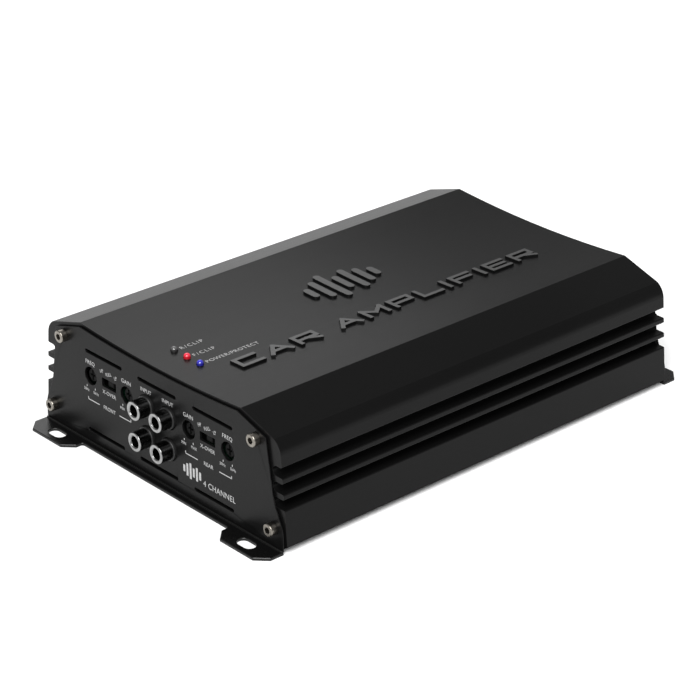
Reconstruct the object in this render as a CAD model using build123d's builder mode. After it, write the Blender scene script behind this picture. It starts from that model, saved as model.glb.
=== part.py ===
from build123d import *

import os
from math import atan2, degrees, hypot

# Four-channel car audio amplifier, in millimetres.
# Origin: centre of the footprint, on the underside of the base plate.
# -Y is the control and input end, +Y the power and speaker end, +Z is up.

# ---- case ----
case_width = 154.0
case_length = 219.0
case_height = 53.7
base_thickness = 1.2
plate_thickness = 1.2
wall = 2.6
half_width = case_width / 2
front_y = -case_length / 2
rear_y = case_length / 2
extrusion_half = case_length / 2 - plate_thickness

# ---- extrusion section ----
ridge_x = 51.5
dish_depth = 2.2
shoulder = (70.8, 47.6)
shoulder_middle = (73.4, 45.2)
side_top = (74.7, 41.8)
side_bottom = (78.0, 3.2)
skirt_inner_x = 74.5
notch_root_x = 69.9
notch_height = 4.4
notch_levels = (34.4, 27.6, 20.9)
cavity_side_x = 67.3
screw_channel_points = ((61.7, 44.8), (71.0, 9.5))
screw_channel_radius = 3.6
m3_radius = 1.5
m3_hole_radius = 1.55

# ---- feet ----
sheet_half_width = 73.5
foot_reach = 11.4
foot_inner_x = 47.6
foot_inner_chamfer = 4.7
foot_outer_chamfer = 4.9
lip_reach = 3.3
rib_gap = 0.2
rib_thickness = 0.6
rib_height = 0.6
slot_length = 9.0
slot_width = 5.2
slot_x = 61.9
slot_reach = 6.0

# ---- circuit boards ----
board_bottom_z = 8.0
board_thickness = 1.6
board_top_z = board_bottom_z + board_thickness
board_half_width = 66.0
input_board_front_y = -96.5
input_board_back_y = input_board_front_y + board_thickness
standoff_points = [(x, y) for x in (-52.0, 52.0) for y in (-84.0, 4.0, 86.0)]

# ---- controls and jacks ----
control_z = 32.3
frequency_x = 44.2
gain_x = 20.0
switch_x = 31.8
control_hole_radius = 4.0
pot_points = {
    "front_frequency": -frequency_x,
    "front_gain": -gain_x,
    "rear_gain": gain_x,
    "rear_frequency": frequency_x,
}
switch_points = {"front_crossover": -switch_x, "rear_crossover": switch_x}
jack_pitch = 14.0
jack_middle_z = 25.5
jack_reach = 6.8
jack_shell_radius = 4.15
jack_collar_radius = 4.8
jack_collar_reach = 1.2
vent_points_x = (-35.0, 0.0, 35.0)
vent_levels = (43.2, 6.9)
vent_length = 24.6
vent_height = 1.6
lamp_y = front_y + 16.0
lamp_pitch = 8.3

# ---- rear connections ----
terminal_reach = 11.0
power_pole_pitch = 11.0
power_block_x = 43.0
speaker_pole_pitch = 6.5
speaker_block_x = -35.5
fuse_block_x = 9.0
fuse_pitch = 9.0
fuse_block_size = (22.0, 24.0)
fuse_z = board_top_z + fuse_block_size[1] / 2


def section_at(y):
    """Sketch plane at depth y: local x is +X, local y is +Z, extrusions run towards -Y."""
    return Plane.XZ.offset(-y)


def dish_z(x):
    """Height of the dished top at distance x from the middle."""
    return case_height - dish_depth + dish_depth * (x / ridge_x) ** 2


# ==== heat sink extrusion ====

cavity_side = [
    (50.9, case_height - wall),
    (65.4, 46.4),
    (cavity_side_x, 43.6),
    (cavity_side_x, base_thickness),
]
channel_points = [(side * x, z) for side in (1, -1) for x, z in screw_channel_points]
clamp_screw_rows = (-69.5, -43.5, 30.5, 56.5)
clamp_screw_z = 23.25
clamp_screw_tip_x = 69.2
base_screw_points = [(x, y) for x in (-70.0, 70.0) for y in (-88.0, 0.0, 88.0)]
base_screw_tip_z = 9.0

with BuildPart() as heat_sink_extrusion:
    with BuildSketch(Plane.XZ):
        with BuildLine():
            ThreePointArc((-ridge_x, case_height), (0, case_height - dish_depth), (ridge_x, case_height))
            for side in (1, -1):
                Line((side * ridge_x, case_height), (side * shoulder[0], shoulder[1]))
                ThreePointArc(
                    (side * shoulder[0], shoulder[1]),
                    (side * shoulder_middle[0], shoulder_middle[1]),
                    (side * side_top[0], side_top[1]),
                )
                Polyline(
                    (side * side_top[0], side_top[1]),
                    (side * side_bottom[0], side_bottom[1]),
                    (side * skirt_inner_x, base_thickness),
                )
            Line((-skirt_inner_x, base_thickness), (skirt_inner_x, base_thickness))
        outer = make_face()
        ridges = outer.vertices().filter_by(lambda v: abs(abs(v.X) - ridge_x) < 0.1)
        fillet(ridges, radius=0.8)
        skirts = outer.vertices().filter_by(lambda v: abs(v.Y - side_bottom[1]) < 0.1)
        fillet(skirts, radius=0.6)
        # cooling notches with round roots, cut from both sides
        for side in (1, -1):
            slot_middle = side * (notch_root_x + 10)
            with Locations(*[(slot_middle, z) for z in notch_levels]):
                SlotOverall(20, notch_height, mode=Mode.SUBTRACT)
        with BuildLine():
            ThreePointArc(
                (-cavity_side[0][0], cavity_side[0][1]),
                (0, case_height - dish_depth - wall),
                cavity_side[0],
            )
            for side in (1, -1):
                Polyline(*[(side * x, z) for x, z in cavity_side])
            Line((-cavity_side[-1][0], base_thickness), cavity_side[-1])
        make_face(mode=Mode.SUBTRACT)
        with Locations(*channel_points):
            Circle(screw_channel_radius)
        with Locations(*channel_points):
            Circle(m3_hole_radius, mode=Mode.SUBTRACT)
    extrude(amount=extrusion_half, both=True)
    # indicator lamp holes through the top
    with BuildSketch(Plane.XY.offset(case_height - dish_depth - wall - 2)):
        with Locations(*[(i * lamp_pitch, lamp_y) for i in (-1, 0, 1)]):
            Circle(1.65)
    extrude(amount=2 * wall + 4, mode=Mode.SUBTRACT)
    # holes for the base screws, from below
    with BuildSketch(Plane.XY.offset(base_thickness)):
        with Locations(*base_screw_points):
            Circle(m3_hole_radius)
    extrude(amount=base_screw_tip_z - base_thickness, mode=Mode.SUBTRACT)
    # blind holes for the transistor clamp screws, in both inner walls
    with BuildSketch(Plane.YZ.offset(-clamp_screw_tip_x)):
        with Locations(*[(y, clamp_screw_z) for y in clamp_screw_rows]):
            Circle(m3_hole_radius)
    extrude(amount=2 * clamp_screw_tip_x, mode=Mode.SUBTRACT)
    fin_edges = heat_sink_extrusion.edges().filter_by(Axis.Y)
    fin_edges = fin_edges.filter_by(lambda e: abs(e.center().X) > 74.5 and 18 < e.center().Z < 37)
    fillet(fin_edges, radius=0.6)
heat_sink_extrusion.part.label = "heat_sink_extrusion"
export_step(heat_sink_extrusion.part, "parts/heat_sink_extrusion.step")

# ==== base plate with its four feet ====

foot_y = rear_y + foot_reach
slot_y = rear_y + slot_reach
countersink_radius = 2.5

with BuildPart() as base_plate:
    with BuildSketch(Plane.XY):
        Rectangle(2 * sheet_half_width, case_length)
        with Locations((0, rear_y + lip_reach / 2), (0, front_y - lip_reach / 2)):
            Rectangle(case_width, lip_reach)
        for x_side in (1, -1):
            for y_side in (1, -1):
                with BuildLine():
                    foot_outline = [
                        (foot_inner_x, rear_y),
                        (foot_inner_x, foot_y - foot_inner_chamfer),
                        (foot_inner_x + foot_inner_chamfer, foot_y),
                        (half_width - foot_outer_chamfer, foot_y),
                        (half_width, foot_y - foot_outer_chamfer),
                        (half_width, rear_y),
                    ]
                    Polyline(*[(x_side * x, y_side * y) for x, y in foot_outline], close=True)
                make_face()
        with Locations(*[(x, y) for x in (-slot_x, slot_x) for y in (-slot_y, slot_y)]):
            SlotOverall(slot_length, slot_width, mode=Mode.SUBTRACT)
    extrude(amount=base_thickness)
    upright = base_plate.edges().filter_by(Axis.Z)
    inner_corners = upright.filter_by(
        lambda e: abs(abs(e.center().X) - foot_inner_x) < 0.01 and abs(e.center().Y) < foot_y - 7
    )
    fillet(inner_corners, radius=1.2)
    rims = base_plate.edges().group_by(Axis.Z)[-1].filter_by(GeomType.LINE)
    chamfer(rims.filter_by(lambda e: abs(e.center().Y) > rear_y + 1), length=0.25)
    # a low rib along both end plates
    with BuildSketch(Plane.XY.offset(base_thickness)):
        for end in (1, -1):
            with Locations((0, end * (rear_y + rib_gap + rib_thickness / 2))):
                Rectangle(case_width - 1, rib_thickness)
    extrude(amount=rib_height)
    rib_rims = base_plate.edges().group_by(Axis.Z)[-1].filter_by(Axis.X)
    fillet(rib_rims, radius=0.25)
    with BuildSketch(Plane.XY):
        with Locations(*base_screw_points):
            Circle(countersink_radius)
    extrude(amount=base_thickness, taper=36, mode=Mode.SUBTRACT)
    with BuildSketch(Plane.XY):
        with Locations(*base_screw_points):
            Circle(m3_hole_radius)
    extrude(amount=base_thickness, mode=Mode.SUBTRACT)
base_plate.part.label = "base_plate"
export_step(base_plate.part, "parts/base_plate.step")

# ==== end plates ====

plate_ridge = (50.6, case_height - 1.4)
plate_shoulder = (67.3, 47.1)
plate_waist = (70.9, 24.6)
plate_foot = (76.9, 7.0)
plate_top_inset = 1.2
plate_rebate = 0.8
plate_rebate_depth = 0.7


def plate_outline(inset=0.0):
    """Outline of an end plate, drawn in by inset: dished top, slim waist and flared foot."""
    ridge_end = (plate_ridge[0] - inset / 2, plate_ridge[1] - inset)
    waist_x = plate_waist[0] - inset
    foot_x = plate_foot[0] - inset
    low_z = base_thickness + inset
    for side in (1, -1):
        Polyline(
            (side * ridge_end[0], ridge_end[1]),
            (side * (plate_shoulder[0] - inset), plate_shoulder[1] - inset / 2),
            (side * waist_x, plate_waist[1]),
        )
        Bezier(
            (side * waist_x, plate_waist[1]),
            (side * (waist_x + 1.5), 15.4),
            (side * foot_x, 13.6),
            (side * foot_x, plate_foot[1]),
        )
        Line((side * foot_x, plate_foot[1]), (side * foot_x, low_z))
    ThreePointArc((-ridge_end[0], ridge_end[1]), (0, dish_z(0) - plate_top_inset - inset), ridge_end)
    Line((-foot_x, low_z), (foot_x, low_z))


def plate_blank(face_y, outward):
    """An end plate with a rebate round its back; outward is -1 or +1."""
    back_y = face_y - outward * plate_thickness
    with BuildSketch(section_at(back_y)) as outline:
        with BuildLine():
            plate_outline()
        make_face()
    extrude(outline.sketch, amount=-outward * plate_thickness)
    with BuildSketch(section_at(back_y)) as rebate:
        with BuildLine():
            plate_outline()
        make_face()
        with BuildLine():
            plate_outline(plate_rebate)
        make_face(mode=Mode.SUBTRACT)
    extrude(rebate.sketch, amount=-outward * plate_rebate_depth, mode=Mode.SUBTRACT)


def vent_slots():
    """Six long ventilation slots, three high and three low."""
    with Locations(*[(x, z) for x in vent_points_x for z in vent_levels]):
        SlotOverall(vent_length, vent_height)


jack_points = [
    (x, jack_middle_z + z) for x in (-jack_pitch / 2, jack_pitch / 2) for z in (-jack_pitch / 2, jack_pitch / 2)
]
switch_window = (9.4, 4.0)

with BuildPart() as front_end_plate:
    plate_blank(front_y, -1)
    with BuildSketch(section_at(front_y + plate_thickness)):
        vent_slots()
        with Locations(*[(x, control_z) for x in pot_points.values()]):
            Circle(control_hole_radius)
        with Locations(*[(x, control_z + 0.4) for x in switch_points.values()]):
            Rectangle(*switch_window)
        with Locations(*jack_points):
            Circle(jack_collar_radius + 0.2)
        with Locations(*channel_points):
            Circle(m3_radius + 0.2)
    extrude(amount=plate_thickness, mode=Mode.SUBTRACT)
front_end_plate.part.label = "front_end_plate"
export_step(front_end_plate.part, "parts/front_end_plate.step")

power_block_size = (power_pole_pitch * 3 + 4, 16.0)
speaker_block_size = (speaker_pole_pitch * 8 + 2, 12.5)
block_gap = 0.3

with BuildPart() as rear_end_plate:
    plate_blank(rear_y, 1)
    with BuildSketch(section_at(rear_y)):
        vent_slots()
        with Locations(*channel_points):
            Circle(m3_radius + 0.2)
        for middle, (width, height), low in (
            (power_block_x, power_block_size, board_top_z),
            (speaker_block_x, speaker_block_size, board_top_z),
            (fuse_block_x, fuse_block_size, fuse_z - fuse_block_size[1] / 2),
        ):
            with Locations((middle, low + height / 2)):
                Rectangle(width + 2 * block_gap, height + 2 * block_gap)
    extrude(amount=plate_thickness, mode=Mode.SUBTRACT)
rear_end_plate.part.label = "rear_end_plate"
export_step(rear_end_plate.part, "parts/rear_end_plate.step")

# ==== end plate screws ====

cap_head_radius = 2.75
cap_head_height = 3.0
button_head_height = 1.5
cap_key_radius = 1.5
plate_screw_length = 12.0


def plate_screws(face_y, outward, head_height):
    """Four socket screws through an end plate; outward is -1 at the front, +1 at the rear."""
    with BuildSketch(section_at(face_y)) as outline:
        with Locations(*channel_points):
            Circle(cap_head_radius)
    extrude(outline.sketch, amount=-outward * head_height)
    rims = edges().filter_by(GeomType.CIRCLE).sort_by(Axis.Y)
    rims = rims[:4] if outward < 0 else rims[-4:]
    fillet(rims, radius=0.5)
    with BuildSketch(section_at(face_y)) as outline:
        with Locations(*channel_points):
            Circle(m3_radius)
    extrude(outline.sketch, amount=outward * plate_screw_length)
    with BuildSketch(section_at(face_y + outward * head_height)) as outline:
        with Locations(*channel_points):
            RegularPolygon(cap_key_radius, 6)
    extrude(outline.sketch, amount=outward * head_height * 2 / 3, mode=Mode.SUBTRACT)


with BuildPart() as front_plate_screws:
    plate_screws(front_y, -1, cap_head_height)
front_plate_screws.part.label = "front_plate_screws"
export_step(front_plate_screws.part, "parts/front_plate_screws.step")

with BuildPart() as rear_plate_screws:
    plate_screws(rear_y, 1, button_head_height)
rear_plate_screws.part.label = "rear_plate_screws"
export_step(rear_plate_screws.part, "parts/rear_plate_screws.step")

# ==== countersunk screws under the base plate ====

with BuildPart() as base_plate_screws:
    with BuildSketch(Plane.XY.offset(0.1)):
        with Locations(*base_screw_points):
            Circle(countersink_radius - 0.15)
    extrude(amount=1.05, taper=36)
    with BuildSketch(Plane.XY.offset(0.1)):
        with Locations(*base_screw_points):
            Circle(m3_radius)
    extrude(amount=base_screw_tip_z - 0.5)
    with BuildSketch(Plane.XY.offset(0.1)):
        with Locations(*base_screw_points):
            RegularPolygon(0.95, 6)
    extrude(amount=1.2, mode=Mode.SUBTRACT)
base_plate_screws.part.label = "base_plate_screws"
export_step(base_plate_screws.part, "parts/base_plate_screws.step")

# ==== circuit boards and their supports ====

with BuildPart() as board_standoffs:
    with BuildSketch(Plane.XY.offset(base_thickness)):
        with Locations(*standoff_points):
            RegularPolygon(3.1, 6)
            Circle(m3_hole_radius, mode=Mode.SUBTRACT)
    extrude(amount=board_bottom_z - base_thickness)
board_standoffs.part.label = "board_standoffs"
export_step(board_standoffs.part, "parts/board_standoffs.step")

with BuildPart() as board_screws:
    with BuildSketch(Plane.XY.offset(board_top_z)):
        with Locations(*standoff_points):
            Circle(2.8)
    extrude(amount=2.0)
    fillet(edges().filter_by(GeomType.CIRCLE).group_by(Axis.Z)[-1], radius=0.8)
    with BuildSketch(Plane.XY.offset(board_top_z)):
        with Locations(*standoff_points):
            Circle(m3_radius)
    extrude(amount=-6.5)
    with BuildSketch(Plane.XY.offset(board_top_z + 2.0)):
        with Locations(*standoff_points):
            Rectangle(3.0, 0.7)
            Rectangle(0.7, 3.0)
    extrude(amount=-1.1, mode=Mode.SUBTRACT)
board_screws.part.label = "board_screws"
export_step(board_screws.part, "parts/board_screws.step")

transistor_rows = (-76.0, -63.0, -50.0, -37.0, 24.0, 37.0, 50.0, 63.0)
lead_x = 64.2
lead_pitch = 2.54
lead_points = [
    (side * lead_x, y + i * lead_pitch) for side in (1, -1) for y in transistor_rows for i in (-1, 0, 1)
]

with BuildPart() as main_circuit_board:
    with BuildSketch(Plane.XY.offset(board_bottom_z)):
        with BuildLine():
            Polyline(
                (-board_half_width, -98),
                (board_half_width, -98),
                (board_half_width, 104),
                (-board_half_width, 104),
                close=True,
            )
        make_face()
        with Locations(*standoff_points):
            Circle(m3_radius + 0.2, mode=Mode.SUBTRACT)
        with Locations(*lead_points):
            Rectangle(0.7, 1.0, mode=Mode.SUBTRACT)
    extrude(amount=board_thickness)
main_circuit_board.part.label = "main_circuit_board"
export_step(main_circuit_board.part, "parts/main_circuit_board.step")

with BuildPart() as input_circuit_board:
    with BuildSketch(section_at(input_board_back_y)):
        with BuildLine():
            Polyline(
                (-62, board_top_z),
                (62, board_top_z),
                (62, 37),
                (56, 42.6),
                (-56, 42.6),
                (-62, 37),
                close=True,
            )
        make_face()
    extrude(amount=board_thickness)
input_circuit_board.part.label = "input_circuit_board"
export_step(input_circuit_board.part, "parts/input_circuit_board.step")

with BuildPart() as board_header:
    with BuildSketch(Plane.XY.offset(board_top_z)):
        with Locations((0, input_board_back_y + 1.5)):
            Rectangle(50.8, 3.0)
    extrude(amount=6.0)
    with BuildSketch(Plane.XY.offset(board_top_z + 6.0)):
        with Locations((0, input_board_back_y + 1.5)):
            with GridLocations(lead_pitch, 1, 19, 1):
                Rectangle(1.0, 1.0)
    extrude(amount=-2.0, mode=Mode.SUBTRACT)
board_header.part.label = "board_header"
export_step(board_header.part, "parts/board_header.step")

# ==== input jacks: a two by two block ====

jack_block_front_y = front_y + 3.2
jack_bore_bottom_y = front_y + 8.4
jack_inner_radius = 2.5
jack_seat_radius = 4.0
jack_pin_radius = 1.65

with BuildPart() as rca_jack_housing:
    with BuildSketch(section_at(input_board_front_y)):
        with Locations((0, jack_middle_z)):
            RectangleRounded(30, 29, 1.0)
    extrude(amount=input_board_front_y - jack_block_front_y)
    with BuildSketch(section_at(jack_block_front_y)):
        with Locations(*jack_points):
            Circle(jack_collar_radius)
    extrude(amount=jack_block_front_y - front_y + jack_collar_reach)
    rims = edges().filter_by(GeomType.CIRCLE).group_by(Axis.Y)[0]
    fillet(rims, radius=0.5)
    with BuildSketch(section_at(jack_bore_bottom_y)):
        with Locations(*jack_points):
            Circle(jack_seat_radius)
    extrude(amount=jack_bore_bottom_y - front_y + jack_collar_reach, mode=Mode.SUBTRACT)
rca_jack_housing.part.label = "rca_jack_housing"
export_step(rca_jack_housing.part, "parts/rca_jack_housing.step")

with BuildPart() as rca_jack_shells:
    with BuildSketch(section_at(jack_bore_bottom_y)):
        with Locations(*jack_points):
            Circle(jack_seat_radius)
    extrude(amount=jack_bore_bottom_y - front_y + jack_collar_reach)
    with BuildSketch(section_at(front_y - jack_collar_reach)):
        with Locations(*jack_points):
            Circle(jack_shell_radius)
    extrude(amount=jack_reach - jack_collar_reach)
    rims = edges().filter_by(GeomType.CIRCLE).group_by(Axis.Y)[0]
    fillet(rims, radius=0.45)
    with BuildSketch(section_at(jack_bore_bottom_y)):
        with Locations(*jack_points):
            Circle(jack_inner_radius)
    extrude(amount=jack_bore_bottom_y - front_y + jack_reach, mode=Mode.SUBTRACT)
    mouths = edges().filter_by(GeomType.CIRCLE).group_by(Axis.Y)[0]
    chamfer(mouths.filter_by(lambda e: e.radius < jack_inner_radius + 0.1), length=0.4)
rca_jack_shells.part.label = "rca_jack_shells"
export_step(rca_jack_shells.part, "parts/rca_jack_shells.step")

with BuildPart() as rca_jack_insulators:
    with BuildSketch(section_at(jack_bore_bottom_y)):
        with Locations(*jack_points):
            Circle(jack_inner_radius)
            Circle(jack_pin_radius + 0.35, mode=Mode.SUBTRACT)
    extrude(amount=5.5)
rca_jack_insulators.part.label = "rca_jack_insulators"
export_step(rca_jack_insulators.part, "parts/rca_jack_insulators.step")

with BuildPart() as rca_jack_centre_contacts:
    with BuildSketch(section_at(jack_bore_bottom_y)):
        with Locations(*jack_points):
            Circle(jack_pin_radius + 0.35)
            Circle(jack_pin_radius, mode=Mode.SUBTRACT)
    extrude(amount=5.0)
rca_jack_centre_contacts.part.label = "rca_jack_centre_contacts"
export_step(rca_jack_centre_contacts.part, "parts/rca_jack_centre_contacts.step")

# ==== rotary controls ====

pot_body_front_y = -103.3
pot_bore_depth = 4.5
pot_bushing_radius = 3.7
pot_shaft_radius = 3.0
pot_shaft_clearance = 0.05
pot_shaft_front_y = front_y + 1.2

with BuildPart() as control_pot_bodies:
    with BuildSketch(section_at(input_board_front_y)):
        with Locations(*[(x, control_z) for x in pot_points.values()]):
            RectangleRounded(9.8, 11.0, 0.8)
    extrude(amount=input_board_front_y - pot_body_front_y)
    with BuildSketch(section_at(pot_body_front_y)):
        with Locations(*[(x, control_z) for x in pot_points.values()]):
            Circle(pot_bushing_radius)
    extrude(amount=2.0)
    with BuildSketch(section_at(pot_body_front_y - 2.0)):
        with Locations(*[(x, control_z) for x in pot_points.values()]):
            Circle(pot_shaft_radius + pot_shaft_clearance)
    extrude(amount=-2.0 - pot_bore_depth, mode=Mode.SUBTRACT)
control_pot_bodies.part.label = "control_pot_bodies"
export_step(control_pot_bodies.part, "parts/control_pot_bodies.step")

for pot_name, pot_x in pot_points.items():
    with BuildPart() as pot_rotor:
        with BuildSketch(section_at(pot_shaft_front_y)):
            with Locations((pot_x, control_z)):
                Circle(pot_shaft_radius)
        extrude(amount=-(pot_body_front_y + pot_bore_depth - 0.2 - pot_shaft_front_y))
        rim = edges().filter_by(GeomType.CIRCLE).group_by(Axis.Y)[0]
        chamfer(rim, length=0.4)
        with BuildSketch(section_at(pot_shaft_front_y)):
            with Locations((pot_x, control_z)):
                Rectangle(1.0, 4.6)
            with Locations((pot_x, control_z)):
                Rectangle(3.2, 1.0)
        extrude(amount=-1.6, mode=Mode.SUBTRACT)
    pot_rotor.part.label = f"{pot_name}_rotor"
    export_step(pot_rotor.part, f"parts/{pot_name}_rotor.step")

# ==== crossover slide switches ====

switch_front_y = -103.0
switch_z = control_z + 0.4
slider_width = 3.6
slider_height = 3.0
switch_travel = 2.4
slider_front_y = front_y + 1.0
slider_base = (5.2, 4.4, 1.2)
slider_clearance = 0.1

with BuildPart() as crossover_switch_bodies:
    for switch_middle in switch_points.values():
        with BuildSketch(section_at(input_board_front_y)):
            with Locations((switch_middle, switch_z)):
                Rectangle(13.0, 6.6)
        extrude(amount=input_board_front_y - switch_front_y)
        with BuildSketch(section_at(switch_front_y)):
            with Locations((switch_middle, switch_z)):
                Rectangle(slider_width + 2 * switch_travel + 0.4, slider_height + 2 * slider_clearance)
        extrude(amount=-3.0, mode=Mode.SUBTRACT)
        with BuildSketch(section_at(switch_front_y + 0.8)):
            with Locations((switch_middle, switch_z)):
                Rectangle(slider_base[0] + 2 * switch_travel + 0.4, slider_base[1] + 2 * slider_clearance)
        extrude(amount=-3.0, mode=Mode.SUBTRACT)
crossover_switch_bodies.part.label = "crossover_switch_bodies"
export_step(crossover_switch_bodies.part, "parts/crossover_switch_bodies.step")

for switch_name, switch_middle in switch_points.items():
    with BuildPart() as switch_slider:
        with BuildSketch(section_at(switch_front_y + 0.9 + slider_base[2])):
            with Locations((switch_middle, switch_z)):
                Rectangle(slider_base[0], slider_base[1])
        extrude(amount=slider_base[2])
        with BuildSketch(section_at(switch_front_y + 0.9)):
            with Locations((switch_middle, switch_z)):
                Rectangle(slider_width, slider_height)
        extrude(amount=switch_front_y + 0.9 - slider_front_y)
        tip = edges().group_by(Axis.Y)[0]
        chamfer(tip, length=0.3)
    switch_slider.part.label = f"{switch_name}_slider"
    export_step(switch_slider.part, f"parts/{switch_name}_slider.step")

# ==== indicator lamps ====

lamp_radius = 1.5
lamp_top_z = 53.5
lamp_board_z = 39.0
lamp_flange_z = 44.0
lamps = {"rear_clip_lamp": -1, "front_clip_lamp": 0, "power_lamp": 1}

for lamp_name, lamp_place in lamps.items():
    lamp_x = lamp_place * lamp_pitch
    with BuildPart() as lamp:
        with BuildSketch(Plane.XY.offset(lamp_flange_z)):
            with Locations((lamp_x, lamp_y)):
                Circle(1.9)
        extrude(amount=1.0)
        with BuildSketch(Plane.XY.offset(lamp_flange_z + 1.0)):
            with Locations((lamp_x, lamp_y)):
                Circle(lamp_radius)
        extrude(amount=lamp_top_z - lamp_flange_z - 1.0)
        fillet(edges().filter_by(GeomType.CIRCLE).group_by(Axis.Z)[-1], radius=lamp_radius - 0.05)
    lamp.part.label = lamp_name
    export_step(lamp.part, f"parts/{lamp_name}.step")

with BuildPart() as lamp_board:
    with BuildSketch(Plane.XY.offset(lamp_board_z)):
        with Locations((0, input_board_back_y + 5)):
            Rectangle(28, 10)
    extrude(amount=board_thickness)
lamp_board.part.label = "lamp_board"
export_step(lamp_board.part, "parts/lamp_board.step")

with BuildPart() as lamp_spacer:
    with BuildSketch(Plane.XY.offset(lamp_board_z + board_thickness)):
        with Locations((0, lamp_y + 1.8)):
            Rectangle(24, 5.6)
        with Locations(*[(i * lamp_pitch, lamp_y + 1.8) for i in (-1, 0, 1)]):
            Circle(0.8, mode=Mode.SUBTRACT)
    extrude(amount=lamp_flange_z - lamp_board_z - board_thickness)
lamp_spacer.part.label = "lamp_spacer"
export_step(lamp_spacer.part, "parts/lamp_spacer.step")

# ==== power supply: transformer and choke ====


def ring_core(middle, outer_radius, inner_radius, low_z, height):
    """A ferrite ring with rounded edges."""
    with BuildSketch(Plane.XY.offset(low_z)) as outline:
        with Locations(middle):
            Circle(outer_radius)
            Circle(inner_radius, mode=Mode.SUBTRACT)
    extrude(outline.sketch, amount=height)
    fillet(edges().filter_by(GeomType.CIRCLE), radius=1.0)


def ring_winding(middle, outer_radius, inner_radius, low_z, height, turns, wire):
    """Separate turns of wire round a ring core, each a flat loop with round corners."""
    gap = 0.12
    loop_width = outer_radius - inner_radius
    loop_radius = (outer_radius + inner_radius) / 2
    for turn in range(turns):
        angle = 360.0 / turns * turn
        spot = Plane(origin=(middle[0], middle[1], low_z + height / 2)).rotated((0, 0, angle))
        loop_plane = Plane(origin=spot.origin + spot.x_dir * loop_radius, x_dir=spot.x_dir, z_dir=spot.y_dir)
        with BuildSketch(loop_plane) as outline:
            RectangleRounded(loop_width + 2 * (wire + gap), height + 2 * (wire + gap), wire + gap + 0.9)
            RectangleRounded(loop_width + 2 * gap, height + 2 * gap, gap + 0.7, mode=Mode.SUBTRACT)
        extrude(outline.sketch, amount=wire / 2, both=True)


transformer_middle = (0.0, 42.0)
transformer_size = (21.0, 11.0, 11.2, 18.0)
choke_middle = (0.0, 77.2)
choke_size = (10.5, 5.5, 11.0, 9.0)

with BuildPart() as transformer_core:
    ring_core(transformer_middle, *transformer_size)
transformer_core.part.label = "transformer_core"
export_step(transformer_core.part, "parts/transformer_core.step")

with BuildPart() as transformer_windings:
    ring_winding(transformer_middle, *transformer_size, turns=26, wire=1.4)
transformer_windings.part.label = "transformer_windings"
export_step(transformer_windings.part, "parts/transformer_windings.step")

with BuildPart() as filter_choke_core:
    ring_core(choke_middle, *choke_size)
filter_choke_core.part.label = "filter_choke_core"
export_step(filter_choke_core.part, "parts/filter_choke_core.step")

with BuildPart() as filter_choke_winding:
    ring_winding(choke_middle, *choke_size, turns=15, wire=1.2)
filter_choke_winding.part.label = "filter_choke_winding"
export_step(filter_choke_winding.part, "parts/filter_choke_winding.step")

# ==== capacitors and chips ====


def capacitors(points, radius, height):
    """Upright electrolytic cans with a crimp ring near the board and a scored vent on top."""
    with BuildSketch(Plane.XY.offset(board_top_z)) as outline:
        with Locations(*points):
            Circle(radius)
    extrude(outline.sketch, amount=height)
    cans = edges().filter_by(GeomType.CIRCLE)
    fillet(cans.group_by(Axis.Z)[-1], radius=0.6)
    with BuildSketch(Plane.XY.offset(board_top_z + 2.0)) as outline:
        with Locations(*points):
            Circle(radius + 1)
            Circle(radius - 0.5, mode=Mode.SUBTRACT)
    extrude(outline.sketch, amount=0.9, mode=Mode.SUBTRACT)
    with BuildSketch(Plane.XY.offset(board_top_z + height)) as outline:
        with Locations(*points):
            Rectangle(radius * 1.2, 0.3)
            Rectangle(0.3, radius * 1.2)
    extrude(outline.sketch, amount=-0.3, mode=Mode.SUBTRACT)


with BuildPart() as supply_capacitors:
    capacitors([(38, 74), (38, 53)], 9.0, 32.0)
supply_capacitors.part.label = "supply_capacitors"
export_step(supply_capacitors.part, "parts/supply_capacitors.step")

with BuildPart() as rail_capacitors:
    capacitors([(-38, 74), (-38, 55), (-38, 36), (38, 32)], 8.0, 27.0)
rail_capacitors.part.label = "rail_capacitors"
export_step(rail_capacitors.part, "parts/rail_capacitors.step")

with BuildPart() as small_capacitors:
    capacitors([(x, y) for x in (-40, -14, 14, 40) for y in (-78, -52, -26)], 3.15, 11.0)
small_capacitors.part.label = "small_capacitors"
export_step(small_capacitors.part, "parts/small_capacitors.step")

with BuildPart() as amplifier_chips:
    with BuildSketch(Plane.XY.offset(board_top_z)):
        with Locations(*[(x, y) for x in (-27, 0, 27) for y in (-65, -39)]):
            Rectangle(6.4, 9.6)
    extrude(amount=3.4)
    chamfer(edges().group_by(Axis.Z)[-1], length=0.4)
amplifier_chips.part.label = "amplifier_chips"
export_step(amplifier_chips.part, "parts/amplifier_chips.step")

# ==== power transistors clamped to the extrusion ====

pad_thickness = 0.25
tab_thickness = 1.3
case_depth = 3.1
clamp_thickness = 1.5
tab_outer_x = cavity_side_x - pad_thickness
tab_inner_x = tab_outer_x - tab_thickness
case_inner_x = tab_inner_x - case_depth
clamp_inner_x = case_inner_x - clamp_thickness
transistor_low_z = 16.0
bank_middles = (sum(transistor_rows[:4]) / 4, sum(transistor_rows[4:]) / 4)


def side_blocks(x_low, x_high, rows, length, z_low, z_high):
    """Matching blocks on both sides of the case, between two distances from the middle."""
    for side in (1, -1):
        with BuildSketch(Plane.XY.offset(z_low)) as outline:
            with Locations(*[(side * (x_low + x_high) / 2, y) for y in rows]):
                Rectangle(x_high - x_low, length)
        extrude(outline.sketch, amount=z_high - z_low)


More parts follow.
